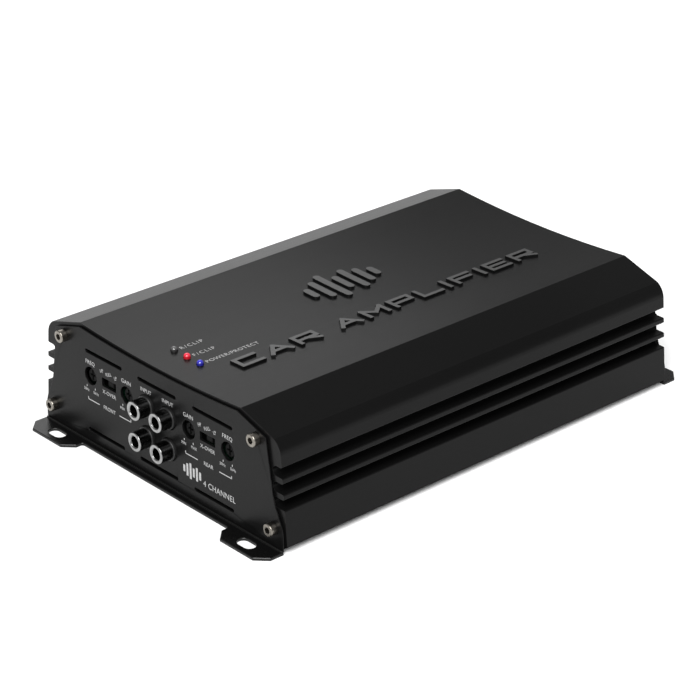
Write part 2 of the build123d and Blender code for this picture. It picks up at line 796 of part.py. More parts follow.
with BuildPart() as insulating_pads:
    side_blocks(tab_outer_x, cavity_side_x, bank_middles, 54.0, transistor_low_z - 0.4, 33.0)
    with BuildSketch(Plane.YZ.offset(-cavity_side_x)):
        with Locations(*[(y, clamp_screw_z) for y in clamp_screw_rows]):
            Circle(m3_radius + 0.15)
    extrude(amount=2 * cavity_side_x, mode=Mode.SUBTRACT)
insulating_pads.part.label = "insulating_pads"
export_step(insulating_pads.part, "parts/insulating_pads.step")

with BuildPart() as transistor_tabs:
    side_blocks(tab_inner_x, tab_outer_x, transistor_rows, 10.0, transistor_low_z, 31.6)
transistor_tabs.part.label = "transistor_tabs"
export_step(transistor_tabs.part, "parts/transistor_tabs.step")

with BuildPart() as transistor_cases:
    side_blocks(case_inner_x, tab_inner_x, transistor_rows, 10.0, transistor_low_z, 25.2)
    chamfer(edges().filter_by(Axis.Z).filter_by(lambda e: abs(e.center().X) < tab_inner_x - 1), length=0.4)
transistor_cases.part.label = "transistor_cases"
export_step(transistor_cases.part, "parts/transistor_cases.step")

with BuildPart() as transistor_leads:
    with BuildSketch(Plane.XY.offset(board_bottom_z - 1.0)):
        with Locations(*lead_points):
            Rectangle(0.5, 0.8)
    extrude(amount=transistor_low_z - board_bottom_z + 1.0)
transistor_leads.part.label = "transistor_leads"
export_step(transistor_leads.part, "parts/transistor_leads.step")

with BuildPart() as transistor_clamp_bars:
    side_blocks(clamp_inner_x, case_inner_x, bank_middles, 52.0, 19.0, 25.5)
    with BuildSketch(Plane.YZ.offset(-case_inner_x)):
        with Locations(*[(y, clamp_screw_z) for y in clamp_screw_rows]):
            Circle(m3_radius + 0.15)
    extrude(amount=2 * case_inner_x, mode=Mode.SUBTRACT)
transistor_clamp_bars.part.label = "transistor_clamp_bars"
export_step(transistor_clamp_bars.part, "parts/transistor_clamp_bars.step")

with BuildPart() as clamp_bar_screws:
    for side in (1, -1):
        with BuildSketch(Plane.YZ.offset(side * clamp_inner_x)):
            with Locations(*[(y, clamp_screw_z) for y in clamp_screw_rows]):
                Circle(2.7)
        extrude(amount=-side * 2.0)
        with BuildSketch(Plane.YZ.offset(side * clamp_inner_x)):
            with Locations(*[(y, clamp_screw_z) for y in clamp_screw_rows]):
                Circle(m3_radius)
        extrude(amount=side * (clamp_screw_tip_x - 0.2 - clamp_inner_x))
clamp_bar_screws.part.label = "clamp_bar_screws"
export_step(clamp_bar_screws.part, "parts/clamp_bar_screws.step")

# ==== rear terminal blocks ====

terminal_face_y = rear_y + terminal_reach
block_front_y = 92.0
power_entry = (8.0, 7.6)
power_entry_z = board_top_z + 7.0
speaker_entry = (3.8, 5.2)
speaker_entry_z = board_top_z + 5.0
entry_depth = 17.0
screw_row_y = rear_y + 5.8


def pole_points(middle, pitch, count):
    """Middles of the poles of a terminal block along X."""
    return [middle + (i - (count - 1) / 2) * pitch for i in range(count)]


power_poles = pole_points(power_block_x, power_pole_pitch, 3)
speaker_poles = pole_points(speaker_block_x, speaker_pole_pitch, 8)


def terminal_block(middle, size, poles, entry, entry_z, well_radius):
    """A moulded block with a wire entry at the rear and a screw well on top of each pole."""
    width, height = size
    with BuildSketch(section_at(terminal_face_y)) as outline:
        with Locations((middle, board_top_z + height / 2)):
            Rectangle(width, height)
    extrude(outline.sketch, amount=terminal_face_y - block_front_y)
    outer_rim = edges().group_by(Axis.Y)[-1]
    chamfer(outer_rim, length=0.6)
    with BuildSketch(section_at(terminal_face_y)) as outline:
        with Locations(*[(x, entry_z) for x in poles]):
            Rectangle(*entry)
    extrude(outline.sketch, amount=entry_depth, mode=Mode.SUBTRACT)
    with BuildSketch(Plane.XY.offset(board_top_z + height)) as outline:
        with Locations(*[(x, screw_row_y) for x in poles]):
            Circle(well_radius)
    extrude(outline.sketch, amount=-(board_top_z + height - entry_z), mode=Mode.SUBTRACT)


def terminal_clamps(poles, entry, entry_z, thread_radius, clamp_wall, length):
    """A rectangular metal cage in each wire entry, with the screw's thread through its roof."""
    play = 0.1
    with BuildSketch(section_at(screw_row_y + length / 2)) as outline:
        with Locations(*[(x, entry_z) for x in poles]):
            Rectangle(entry[0] - 2 * play, entry[1] - 2 * play)
            Rectangle(
                entry[0] - 2 * play - 2 * clamp_wall,
                entry[1] - 2 * play - 2 * clamp_wall,
                mode=Mode.SUBTRACT,
            )
    extrude(outline.sketch, amount=length)
    with BuildSketch(Plane.XY.offset(entry_z)) as outline:
        with Locations(*[(x, screw_row_y) for x in poles]):
            Circle(thread_radius + 0.05)
    extrude(outline.sketch, amount=entry[1], mode=Mode.SUBTRACT)


def terminal_screws(poles, head_radius, thread_radius, head_z, tip_z):
    """A slotted screw above each clamp."""
    with BuildSketch(Plane.XY.offset(head_z)) as outline:
        with Locations(*[(x, screw_row_y) for x in poles]):
            Circle(head_radius)
    extrude(outline.sketch, amount=-1.6)
    chamfer(edges().filter_by(GeomType.CIRCLE).group_by(Axis.Z)[-1], length=0.25)
    with BuildSketch(Plane.XY.offset(head_z - 1.6)) as outline:
        with Locations(*[(x, screw_row_y) for x in poles]):
            Circle(thread_radius)
    extrude(outline.sketch, amount=tip_z - head_z + 1.6)
    with BuildSketch(Plane.XY.offset(head_z)) as outline:
        with Locations(*[(x, screw_row_y) for x in poles]):
            Rectangle(2 * head_radius, 0.7)
            Rectangle(0.7, 1.3 * head_radius)
    extrude(outline.sketch, amount=-0.9, mode=Mode.SUBTRACT)


power_block_top_z = board_top_z + power_block_size[1]
speaker_block_top_z = board_top_z + speaker_block_size[1]

with BuildPart() as power_terminal_block:
    terminal_block(power_block_x, power_block_size, power_poles, power_entry, power_entry_z, 3.2)
power_terminal_block.part.label = "power_terminal_block"
export_step(power_terminal_block.part, "parts/power_terminal_block.step")

with BuildPart() as power_terminal_clamps:
    terminal_clamps(power_poles, power_entry, power_entry_z, 2.0, 1.0, 8.0)
power_terminal_clamps.part.label = "power_terminal_clamps"
export_step(power_terminal_clamps.part, "parts/power_terminal_clamps.step")

with BuildPart() as power_terminal_screws:
    terminal_screws(power_poles, 3.0, 2.0, power_block_top_z - 0.8, power_entry_z + 2.4)
power_terminal_screws.part.label = "power_terminal_screws"
export_step(power_terminal_screws.part, "parts/power_terminal_screws.step")

with BuildPart() as speaker_terminal_block:
    terminal_block(speaker_block_x, speaker_block_size, speaker_poles, speaker_entry, speaker_entry_z, 2.0)
speaker_terminal_block.part.label = "speaker_terminal_block"
export_step(speaker_terminal_block.part, "parts/speaker_terminal_block.step")

with BuildPart() as speaker_terminal_clamps:
    terminal_clamps(speaker_poles, speaker_entry, speaker_entry_z, 1.25, 0.6, 6.0)
speaker_terminal_clamps.part.label = "speaker_terminal_clamps"
export_step(speaker_terminal_clamps.part, "parts/speaker_terminal_clamps.step")

with BuildPart() as speaker_terminal_screws:
    terminal_screws(speaker_poles, 1.85, 1.25, speaker_block_top_z - 0.8, speaker_entry_z + 1.7)
speaker_terminal_screws.part.label = "speaker_terminal_screws"
export_step(speaker_terminal_screws.part, "parts/speaker_terminal_screws.step")

# ==== blade fuses and their socket ====

fuse_width = 19.1
fuse_thickness = 5.1
fuse_face_y = rear_y + 8.0
socket_face_y = rear_y + 1.0
socket_back_y = 90.0
fuse_seat_y = socket_face_y - 4.0
blade_width = 5.2
blade_thickness = 0.65
blade_spread = 13.9
blade_length = 7.2
contact_thickness = 0.5
blade_clearance = 0.05
fuse_points = {"left_fuse": fuse_block_x - fuse_pitch / 2, "right_fuse": fuse_block_x + fuse_pitch / 2}
blade_levels = (fuse_z - blade_spread / 2, fuse_z + blade_spread / 2)
blade_points = [(x, z) for x in fuse_points.values() for z in blade_levels]
contact_gap = blade_thickness + 2 * blade_clearance
contact_width = contact_gap + 2 * contact_thickness

with BuildPart() as fuse_socket:
    with BuildSketch(section_at(socket_face_y)):
        with Locations((fuse_block_x, fuse_z)):
            RectangleRounded(*fuse_block_size, 1.0)
    extrude(amount=socket_face_y - socket_back_y)
    with BuildSketch(section_at(socket_face_y)):
        with Locations(*[(x, fuse_z) for x in fuse_points.values()]):
            Rectangle(fuse_thickness + 0.6, fuse_width + 0.6)
    extrude(amount=socket_face_y - fuse_seat_y, mode=Mode.SUBTRACT)
    with BuildSketch(section_at(fuse_seat_y)):
        with Locations(*blade_points):
            Rectangle(contact_width, blade_width + 0.4)
    extrude(amount=9.0, mode=Mode.SUBTRACT)
fuse_socket.part.label = "fuse_socket"
export_step(fuse_socket.part, "parts/fuse_socket.step")

with BuildPart() as fuse_contacts:
    with BuildSketch(section_at(fuse_seat_y - 0.4)):
        with Locations(*blade_points):
            Rectangle(contact_width, blade_width + 0.2)
            Rectangle(contact_gap, blade_width + 0.4, mode=Mode.SUBTRACT)
    extrude(amount=8.6)
    with BuildSketch(section_at(fuse_seat_y - 8.3)):
        with Locations(*blade_points):
            Rectangle(contact_width, blade_width + 0.2)
    extrude(amount=0.7)
fuse_contacts.part.label = "fuse_contacts"
export_step(fuse_contacts.part, "parts/fuse_contacts.step")

for fuse_name, fuse_x in fuse_points.items():
    with BuildPart() as fuse_housing:
        with BuildSketch(section_at(fuse_face_y)):
            with Locations((fuse_x, fuse_z)):
                RectangleRounded(fuse_thickness, fuse_width, 0.8)
        extrude(amount=fuse_face_y - fuse_seat_y - 0.2)
        # finger recess on both broad sides
        with BuildSketch(section_at(fuse_face_y - 2.2)):
            with Locations((fuse_x - fuse_thickness / 2, fuse_z), (fuse_x + fuse_thickness / 2, fuse_z)):
                Rectangle(1.2, fuse_width * 0.62)
        extrude(amount=3.8, mode=Mode.SUBTRACT)
        with BuildSketch(section_at(fuse_face_y)):
            with Locations(*[(fuse_x, fuse_z + step) for step in (-5.5, 5.5)]):
                Rectangle(1.6, 2.6)
        extrude(amount=1.2, mode=Mode.SUBTRACT)
    fuse_housing.part.label = f"{fuse_name}_housing"
    export_step(fuse_housing.part, f"parts/{fuse_name}_housing.step")

    with BuildPart() as fuse_blades:
        with BuildSketch(section_at(fuse_seat_y + 0.2)):
            with Locations(*[(fuse_x, z) for z in blade_levels]):
                Rectangle(blade_thickness, blade_width)
        extrude(amount=blade_length)
    fuse_blades.part.label = f"{fuse_name}_blades"
    export_step(fuse_blades.part, f"parts/{fuse_name}_blades.step")

# ==== raised lettering and emblem on the top ====

letter_height = 6.6
letter_width = 10.2
letter_stroke = 1.9
letter_gap = 3.2
word_gap = 7.0
letter_rise = 1.0
lettering_base_x = 22.9
lettering_start_y = -83.0
lettering_text = "CAR AMPLIFIER"
letter_strokes = {
    "A": [(0, 0, 0.5, 1), (0.5, 1, 1, 0), (0.2, 0.32, 0.8, 0.32)],
    "C": [(1, 1, 0, 1), (0, 1, 0, 0), (0, 0, 1, 0)],
    "E": [(1, 1, 0, 1), (0, 1, 0, 0), (0, 0, 1, 0), (0, 0.5, 0.9, 0.5)],
    "F": [(1, 1, 0, 1), (0, 1, 0, 0), (0, 0.5, 0.9, 0.5)],
    "I": [(0, 0, 0, 1)],
    "L": [(0, 1, 0, 0), (0, 0, 1, 0)],
    "M": [(0, 0, 0, 1), (0, 1, 0.5, 0.35), (0.5, 0.35, 1, 1), (1, 1, 1, 0)],
    "P": [(0, 0, 0, 1), (0, 1, 1, 1), (1, 1, 1, 0.42), (1, 0.42, 0, 0.42)],
    "R": [(0, 0, 0, 1), (0, 1, 1, 1), (1, 1, 1, 0.42), (1, 0.42, 0, 0.42), (0.5, 0.42, 1, 0)],
}
top_gap = 0.02


def top_skin():
    """Cut what has been built to a skin that follows the dished top, letter_rise thick."""
    low = top_gap
    high = top_gap + letter_rise
    with BuildSketch(Plane.XZ) as outline:
        with BuildLine():
            for rise in (low, high):
                ThreePointArc(
                    (-ridge_x, case_height + rise),
                    (0, case_height - dish_depth + rise),
                    (ridge_x, case_height + rise),
                )
            for side in (1, -1):
                Line((side * ridge_x, case_height + low), (side * ridge_x, case_height + high))
        make_face()
    extrude(outline.sketch, amount=extrusion_half, both=True, mode=Mode.INTERSECT)


with BuildPart() as raised_lettering:
    pen_y = 0.0
    lettering_plane = Plane(
        origin=(lettering_base_x, lettering_start_y, case_height - dish_depth - 1),
        x_dir=(0, 1, 0),
        z_dir=(0, 0, 1),
    )
    for character in lettering_text:
        if character == " ":
            pen_y += word_gap
            continue
        width = 0 if character == "I" else letter_width
        with BuildSketch(lettering_plane):
            for start_u, start_v, end_u, end_v in letter_strokes[character]:
                run_u = (end_u - start_u) * width
                run_v = (end_v - start_v) * letter_height
                middle_u = pen_y + (start_u + end_u) / 2 * width
                middle_v = (start_v + end_v) / 2 * letter_height
                with Locations(Location((middle_u, middle_v), degrees(atan2(run_v, run_u)))):
                    Rectangle(hypot(run_u, run_v) + letter_stroke, letter_stroke)
        extrude(amount=6.0)
        pen_y += width + letter_gap + letter_stroke
    top_skin()
raised_lettering.part.label = "raised_lettering"
export_step(raised_lettering.part, "parts/raised_lettering.step")

emblem_middle = (-11.7, 0.6)
bar_lengths = (9.0, 17.0, 24.0, 13.0, 20.0, 14.0, 8.0)
bar_width = 3.4
bar_pitch = 5.9

with BuildPart() as raised_emblem:
    with BuildSketch(Plane.XY.offset(case_height - dish_depth - 1)):
        for place, bar_length in enumerate(bar_lengths):
            bar_y = emblem_middle[1] + (place - (len(bar_lengths) - 1) / 2) * bar_pitch
            with Locations((emblem_middle[0], bar_y)):
                SlotOverall(bar_length, bar_width)
    extrude(amount=6.0)
    top_skin()
raised_emblem.part.label = "raised_emblem"
export_step(raised_emblem.part, "parts/raised_emblem.step")
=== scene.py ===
from math import cos, pi, radians, sin

import bmesh
import bpy
from mathutils import Matrix, Vector


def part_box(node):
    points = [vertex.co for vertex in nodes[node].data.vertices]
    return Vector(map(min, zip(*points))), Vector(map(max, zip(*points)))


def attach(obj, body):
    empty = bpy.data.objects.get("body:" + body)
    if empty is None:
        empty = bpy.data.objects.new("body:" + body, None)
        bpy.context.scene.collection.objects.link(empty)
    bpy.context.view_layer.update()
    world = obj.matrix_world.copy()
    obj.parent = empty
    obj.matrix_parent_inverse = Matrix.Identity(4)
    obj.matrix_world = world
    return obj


# Looks of a four-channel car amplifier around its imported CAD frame.
# Metres; -Y is the control panel, +Y the power panel, +X right, +Z up.

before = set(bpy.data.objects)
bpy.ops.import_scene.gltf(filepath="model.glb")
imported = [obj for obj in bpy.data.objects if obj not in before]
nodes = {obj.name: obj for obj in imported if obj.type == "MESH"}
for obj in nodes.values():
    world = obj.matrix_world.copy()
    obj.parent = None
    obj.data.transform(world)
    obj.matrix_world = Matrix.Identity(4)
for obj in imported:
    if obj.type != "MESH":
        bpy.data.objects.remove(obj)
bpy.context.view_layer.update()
scene = bpy.context.scene
CASE = "amplifier_case"

# ---- camera, floor and light -------------------------------------------------

CAMERA_AZIMUTH = radians(48.04)
CAMERA_ELEVATION = radians(25.82)
CAMERA_TARGET = Vector((0.0176, -0.0217, 0.0380))
CAMERA_DISTANCE = 1.05
CAMERA_LENS = 130.2

WORLD_STRENGTH = 0.32
SOFTBOX_PLACE = Vector((-1.766, 0.939, 1.43))
SOFTBOX_AIM = Vector((0.0, 0.0, 0.03))
SOFTBOX_SIZE = (1.15, 1.4)
SOFTBOX_POWER = 8.8
KEY_DIRECTION = Vector((-1.4, 1.7, -2.1))
KEY_STRENGTH = 4.9
KEY_SPREAD = radians(40)

FLOOR_HALF = 12.0
FLOOR_WHITE = 0.92


def make_camera():
    back = Vector((
        sin(CAMERA_AZIMUTH) * cos(CAMERA_ELEVATION),
        -cos(CAMERA_AZIMUTH) * cos(CAMERA_ELEVATION),
        sin(CAMERA_ELEVATION),
    ))
    data = bpy.data.cameras.new("camera")
    data.lens = CAMERA_LENS
    data.sensor_width = 36.0
    data.clip_start = 0.05
    data.clip_end = 50.0
    camera = bpy.data.objects.new("camera", data)
    camera.location = CAMERA_TARGET + back * CAMERA_DISTANCE
    camera.rotation_mode = "QUATERNION"
    camera.rotation_quaternion = (-back).to_track_quat("-Z", "Y")
    scene.collection.objects.link(camera)
    scene.camera = camera


def make_world():
    world = bpy.data.worlds.new("studio")
    scene.world = world
    world.use_nodes = True
    background = world.node_tree.nodes["Background"]
    background.inputs["Color"].default_value = (1.0, 1.0, 1.0, 1.0)
    background.inputs["Strength"].default_value = WORLD_STRENGTH


def place_light(data, direction):
    """A new object for a light, shining along direction."""
    light = bpy.data.objects.new(data.name, data)
    light.rotation_mode = "QUATERNION"
    light.rotation_quaternion = direction.to_track_quat("-Z", "Y")
    scene.collection.objects.link(light)
    return light


def make_softbox():
    """A rectangle behind and to the left, which the dished top mirrors."""
    data = bpy.data.lights.new("rear_left", "AREA")
    data.shape = "RECTANGLE"
    data.size, data.size_y = SOFTBOX_SIZE
    data.energy = SOFTBOX_POWER
    light = place_light(data, SOFTBOX_AIM - SOFTBOX_PLACE)
    light.location = SOFTBOX_PLACE
    light.visible_camera = False


def make_key():
    """A broad, high light from the front right, so that the shadow falls behind."""
    data = bpy.data.lights.new("key", "SUN")
    data.energy = KEY_STRENGTH
    data.angle = KEY_SPREAD
    place_light(data, KEY_DIRECTION)


def make_floor():
    mesh = bpy.data.meshes.new("floor")
    corners = [(x * FLOOR_HALF, y * FLOOR_HALF, 0.0) for x, y in ((-1, -1), (1, -1), (1, 1), (-1, 1))]
    mesh.from_pydata(corners, [], [(0, 1, 2, 3)])
    floor = bpy.data.objects.new("floor", mesh)
    scene.collection.objects.link(floor)
    material = bpy.data.materials.new("floor_white")
    material.use_nodes = True
    shader = material.node_tree.nodes["Principled BSDF"]
    shader.inputs["Base Color"].default_value = (FLOOR_WHITE, FLOOR_WHITE, FLOOR_WHITE, 1)
    shader.inputs["Roughness"].default_value = 0.9
    mesh.materials.append(material)


scene.view_settings.view_transform = "Standard"
scene.view_settings.look = "None"
make_camera()
make_world()
make_softbox()
make_key()
make_floor()

# ---- materials ---------------------------------------------------------------

COATING_GRAIN = 2600.0  # grains per metre
# radii of the painted highlights that lighten sharp edges
EDGE_HIGHLIGHT_RADIUS = 0.0004
MOULDED_HIGHLIGHT_RADIUS = 0.0002
NOTCH_DEPTH = 0.006
SMALL_RECESS = 0.0015


class Material:
    """A node material around one Principled shader, in object coordinates."""

    def __init__(self, name):
        self.material = bpy.data.materials.new(name)
        self.material.use_nodes = True
        self.tree = self.material.node_tree
        self.shader = self.tree.nodes["Principled BSDF"]
        self.coordinates = self.node("ShaderNodeTexCoord").outputs["Object"]

    def node(self, kind, **settings):
        made = self.tree.nodes.new(kind)
        for key, value in settings.items():
            setattr(made, key, value)
        return made

    def link(self, source, target):
        self.tree.links.new(source, target)

    def set(self, **values):
        """Constant values on the shader's own sockets."""
        for key, value in values.items():
            self.shader.inputs[key.replace("_", " ")].default_value = value

    def stretched(self, scale):
        """Object coordinates scaled by an (x, y, z) factor."""
        mapping = self.node("ShaderNodeMapping")
        mapping.inputs["Scale"].default_value = scale
        self.link(self.coordinates, mapping.inputs["Vector"])
        return mapping.outputs["Vector"]

    def noise(self, scale, detail=3.0, roughness=0.55, vector=None):
        made = self.node("ShaderNodeTexNoise")
        made.inputs["Scale"].default_value = scale
        made.inputs["Detail"].default_value = detail
        made.inputs["Roughness"].default_value = roughness
        self.link(vector or self.coordinates, made.inputs["Vector"])
        return made.outputs["Fac"]

    def ramp(self, source, low, high, low_at=0.3, high_at=0.7):
        """A two-stop colour ramp between two colours, or two greys."""
        made = self.node("ShaderNodeValToRGB")
        stops = made.color_ramp.elements
        stops[0].position = low_at
        stops[1].position = high_at
        stops[0].color = colour(low)
        stops[1].color = colour(high)
        self.link(source, made.inputs["Fac"])
        return made.outputs["Color"]

    def range(self, source, low, high, from_low=0.0, from_high=1.0):
        """A value mapped from its own range to the one from low to high, and held there."""
        made = self.node("ShaderNodeMapRange")
        made.inputs["From Min"].default_value = from_low
        made.inputs["From Max"].default_value = from_high
        made.inputs["To Min"].default_value = low
        made.inputs["To Max"].default_value = high
        self.link(source, made.inputs["Value"])
        return made.outputs["Result"]

    def mix(self, factor, a, b):
        """Colour a where factor is 0, b where it is 1; each a colour or a socket."""
        made = self.node("ShaderNodeMix", data_type="RGBA")
        for key, value in (("A", a), ("B", b)):
            socket = [s for s in made.inputs if s.name == key and s.type == "RGBA"][0]
            if isinstance(value, bpy.types.NodeSocket):
                self.link(value, socket)
            else:
                socket.default_value = colour(value)
        self.link(factor, made.inputs["Factor"])
        return [s for s in made.outputs if s.type == "RGBA"][0]

    def bump(self, *layers):
        """Bump from (height socket, strength, distance) layers, one on another."""
        normal = None
        for height, strength, distance in layers:
            made = self.node("ShaderNodeBump")
            made.inputs["Strength"].default_value = strength
            made.inputs["Distance"].default_value = distance
            self.link(height, made.inputs["Height"])
            if normal is not None:
                self.link(normal, made.inputs["Normal"])
            normal = made.outputs["Normal"]
        self.link(normal, self.shader.inputs["Normal"])

    def edge_mask(self, radius):
        """1 along sharp edges, 0 on flats: how far the rounded normal leans from the flat one."""
        bevel = self.node("ShaderNodeBevel", samples=4)
        bevel.inputs["Radius"].default_value = radius
        geometry = self.node("ShaderNodeNewGeometry")
        dot = self.node("ShaderNodeVectorMath", operation="DOT_PRODUCT")
        self.link(bevel.outputs["Normal"], dot.inputs[0])
        self.link(geometry.outputs["Normal"], dot.inputs[1])
        return self.range(dot.outputs["Value"], 1.0, 0.0, 0.75, 0.99)

    def openness(self, distance):
        """1 on open faces, less in recesses of about this depth."""
        occlusion = self.node("ShaderNodeAmbientOcclusion", samples=8)
        occlusion.inputs["Distance"].default_value = distance
        return occlusion.outputs["AO"]

    def recess_shade_mask(self):
        """0 in small recesses, which are painted in shade, and 1 on open faces."""
        return self.range(self.openness(SMALL_RECESS), 0.0, 1.0, 0.25, 0.8)

    def facing(self, axis, low, high):
        """0 to 1 as the surface's own normal turns towards an axis, past low to high."""
        geometry = self.node("ShaderNodeNewGeometry")
        parts = self.node("ShaderNodeSeparateXYZ")
        self.link(geometry.outputs["Normal"], parts.inputs["Vector"])
        return self.range(parts.outputs[axis], 0.0, 1.0, low, high)

    def colour_from(self, socket):
        self.link(socket, self.shader.inputs["Base Color"])

    def roughness_from(self, socket):
        self.link(socket, self.shader.inputs["Roughness"])


def colour(value):
    """RGBA from a grey or an (r, g, b)."""
    if isinstance(value, (int, float)):
        value = (value, value, value)
    return (*value[:3], 1.0)


def satin_black(name, dark, light, gloss, edge_highlight_grey, specular):
    """Fine-grained black coating with faint cloudiness, and a painted highlight that lightens its sharp
    edges.
    """
    made = Material(name)
    cloud = made.noise(9.0, 4.0)
    grain = made.noise(COATING_GRAIN, 2.0, 0.6)
    fine = made.noise(900.0, 4.0, 0.6)
    base = made.ramp(cloud, dark, light)
    speckle = made.mix(made.range(grain, 0.0, 0.35, 0.45, 0.8), base, light * 1.9)
    # painted highlight: sharp edges lightened to the edge highlight grey
    made.colour_from(made.mix(made.edge_mask(EDGE_HIGHLIGHT_RADIUS), speckle, edge_highlight_grey))
    made.roughness_from(made.range(fine, gloss - 0.05, gloss + 0.07))
    made.bump((fine, 0.10, 0.0002), (grain, 0.22, 0.00008))
    made.set(IOR=1.42, Specular_IOR_Level=specular)
    return made.material


def extrusion_black():
    """Anodised black extrusion: satin black with faint lines along its length, a painted highlight on its
    sharp edges and painted shade in its notches.
    """
    made = Material("black_anodised_extrusion")
    cloud = made.noise(7.0, 4.0)
    lines = made.noise(1.0, 3.0, 0.6, made.stretched((900.0, 3.0, 900.0)))
    grain = made.noise(COATING_GRAIN, 2.0, 0.6)
    base = made.ramp(cloud, 0.0024, 0.0036)
    speckle = made.mix(made.range(grain, 0.0, 0.35, 0.45, 0.8), base, 0.006)
    # painted highlight: sharp edges lightened to 0.010
    made.colour_from(made.mix(made.edge_mask(EDGE_HIGHLIGHT_RADIUS), speckle, 0.010))
    made.roughness_from(made.range(lines, 0.26, 0.34))
    made.bump((lines, 0.05, 0.0001), (grain, 0.22, 0.00008))
    made.set(IOR=1.42, Specular_IOR_Level=0.15)
    # painted shade: the specular level falls in the notches and other deep recesses, by occlusion, so they
    # read darker
    notch_shade_specular = made.range(made.openness(NOTCH_DEPTH), 0.02, 0.15, 0.35, 0.8)
    made.link(notch_shade_specular, made.shader.inputs["Specular IOR Level"])
    return made.material


def moulded_plastic(name, base, light, gloss=0.45, specular=0.5):
    """Fine-grained spark-eroded moulding texture, with a painted highlight that lightens its sharp edges.
    """
    made = Material(name)
    cloud = made.noise(60.0, 3.0)
    grain = made.noise(3200.0, 2.0, 0.7)
    # painted highlight: sharp edges take the light colour
    made.colour_from(made.mix(made.edge_mask(MOULDED_HIGHLIGHT_RADIUS), made.ramp(cloud, base, light), light))
    made.roughness_from(made.range(made.noise(500.0, 3.0), gloss - 0.06, gloss + 0.08))
    made.bump((grain, 0.25, 0.00006))
    made.set(IOR=1.46, Specular_IOR_Level=specular)
    return made.material


def metal(name, base, light, gloss, recess_shade_colour=None):
    """Plated or drawn metal with fine scratches, a little tarnish, and painted shade in its recesses where
    a shade colour is given.
    """
    made = Material(name)
    scratches = made.noise(1.0, 3.0, 0.6, made.stretched((200.0, 200.0, 2200.0)))
    tarnish = made.noise(350.0, 4.0)
    tone = made.ramp(tarnish, base, light)
    # painted shade: recesses such as screw sockets darkened to this colour by occlusion
    if recess_shade_colour:
        tone = made.mix(made.recess_shade_mask(), recess_shade_colour, tone)
    made.colour_from(tone)
    made.roughness_from(made.range(scratches, gloss - 0.06, gloss + 0.1))
    made.bump((scratches, 0.12, 0.00005))
    made.set(Metallic=1.0)
    return made.material


def jack_metal():
    """Nickel jack: a bright ring facing the front with painted shade in its hole, and a knurled barrel
    behind it painted darker as shade on the same nickel.
    """
    made = Material("bright_nickel")
    knurl = made.node("ShaderNodeTexWave", bands_direction="X")
    knurl.inputs["Scale"].default_value = 260.0
    knurl.inputs["Distortion"].default_value = 0.6
    made.link(made.coordinates, knurl.inputs["Vector"])
    tarnish = made.noise(500.0, 4.0)
    # painted shade: the knurled barrel's nickel is made far darker than the ring's
    barrel = made.mix(knurl.outputs["Fac"], 0.035, 0.10)
    # painted shade: the ring's hole and other small recesses darkened to 0.02
    ring = made.mix(made.recess_shade_mask(), 0.02, made.ramp(tarnish, 0.27, 0.38))
    # faces that turn to the front take the ring colour, the rest the painted-shade barrel colour
    made.colour_from(made.mix(made.facing("Y", -0.35, -0.8), barrel, ring))
    made.roughness_from(made.range(made.noise(900.0), 0.18, 0.30))
    made.bump((knurl.outputs["Fac"], 0.15, 0.00006))
    made.set(Metallic=1.0)
    return made.material


def circuit_board():
    """Green solder mask with copper tracks showing through as lighter lines."""
    made = Material("green_circuit_board")
    tracks = made.node("ShaderNodeTexBrick")
    tracks.inputs["Scale"].default_value = 90.0
    tracks.inputs["Mortar Size"].default_value = 0.03
    tracks.inputs["Color1"].default_value = colour((0.003, 0.020, 0.010))
    tracks.inputs["Color2"].default_value = colour((0.004, 0.026, 0.013))
    tracks.inputs["Mortar"].default_value = colour((0.008, 0.050, 0.024))
    made.link(made.coordinates, tracks.inputs["Vector"])
    weave = made.noise(1500.0, 2.0)
    fibre = made.range(weave, 0.0, 0.3, 0.4, 0.8)
    made.colour_from(made.mix(fibre, tracks.outputs["Color"], (0.007, 0.045, 0.022)))
    made.roughness_from(made.range(made.noise(120.0), 0.25, 0.4))
    made.bump((tracks.outputs["Fac"], 0.2, 0.00005))
    return made.material


def lamp(name, core, rim, glow):
    """A moulded lamp with painted light and shade: darker at its rim, with a lighter core where it faces
    up, and a faint glow when lit.
    """
    made = Material(name)
    # painted light and shade: lighter where the lamp faces up, darker at its rim
    centre = made.facing("Z", 0.2, 0.95)
    tint = made.mix(centre, rim, core)
    made.colour_from(tint)
    made.roughness_from(made.range(made.noise(700.0), 0.12, 0.22))
    made.bump((made.noise(900.0), 0.05, 0.00005))
    made.set(IOR=1.5, Coat_Weight=0.6, Coat_Roughness=0.08)
    if glow:
        made.link(tint, made.shader.inputs["Emission Color"])
        made.set(Emission_Strength=glow)
    return made.material


def badge():
    """Gloss black letters whose flat faces are satin grey."""
    made = Material("badge_black")
    face = made.facing("Z", 0.6, 0.9)
    brushed = made.noise(1.0, 3.0, 0.6, made.stretched((2500.0, 60.0, 60.0)))
    made.colour_from(made.mix(face, 0.003, made.ramp(brushed, 0.028, 0.042)))
    made.roughness_from(made.range(brushed, 0.30, 0.40))
    made.bump((brushed, 0.08, 0.00004))
    made.set(IOR=1.45)
    return made.material


def printed_ink(name, base, light):
    """Screen-printed ink with slightly uneven cover."""
    made = Material(name)
    made.colour_from(made.ramp(made.noise(1800.0, 3.0), base, light))
    made.roughness_from(made.range(made.noise(600.0), 0.45, 0.6))
    made.bump((made.noise(2500.0), 0.1, 0.00003))
    return made.material


